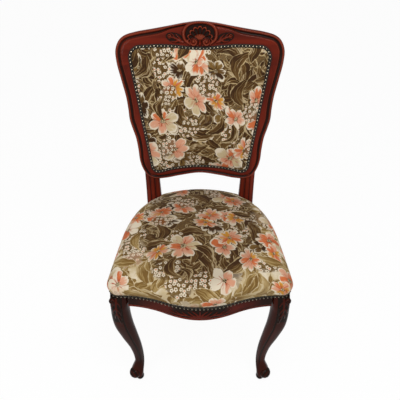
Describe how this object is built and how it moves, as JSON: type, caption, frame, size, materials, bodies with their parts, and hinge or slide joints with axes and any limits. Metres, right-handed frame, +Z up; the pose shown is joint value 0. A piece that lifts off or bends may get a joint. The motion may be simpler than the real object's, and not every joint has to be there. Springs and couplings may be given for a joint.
{
  "type": "upholstered side chair",
  "caption": "Side chair with a carved show-wood frame, cabriole front legs, a raked moulded back with a stuffed panel and a serpentine stuffed-over seat trimmed with nails.",
  "frame": {"origin": "on the floor under the middle of the chair's bounding box", "axes": "+X to the right as seen from the front, +Y to the rear, +Z up"},
  "size_m": [0.5076, 0.5836, 0.996],
  "materials": {
    "show_wood": "gloss red-brown stain with dark glaze",
    "block_wood": "plain sawn",
    "floral_cloth": "printed velour",
    "lining_cloth": "plain woven",
    "jute": "coarse woven",
    "filling": "soft fibre"
  },
  "bodies": {
    "root": {"crest_rail": "show_wood", "lower_back_rail": "show_wood", "right_back_post": "show_wood", "left_back_post": "show_wood", "right_front_leg": "show_wood", "left_front_leg": "show_wood", "right_side_rail": "show_wood", "left_side_rail": "show_wood", "front_rail": "show_wood", "rear_rail": "show_wood", "right_front_glue_block": "block_wood", "left_front_glue_block": "block_wood", "right_rear_glue_block": "block_wood", "left_rear_glue_block": "block_wood", "seat_lining": "lining_cloth", "seat_cover": "floral_cloth", "seat_filling": "filling", "seat_burlap": "jute", "seat_webbing_lengthwise": "jute", "seat_webbing_crosswise": "jute", "back_filling": "filling", "back_front_cover": "floral_cloth", "back_webbing": "jute", "back_rear_cover": "floral_cloth"}
  },
  "joints": []
}
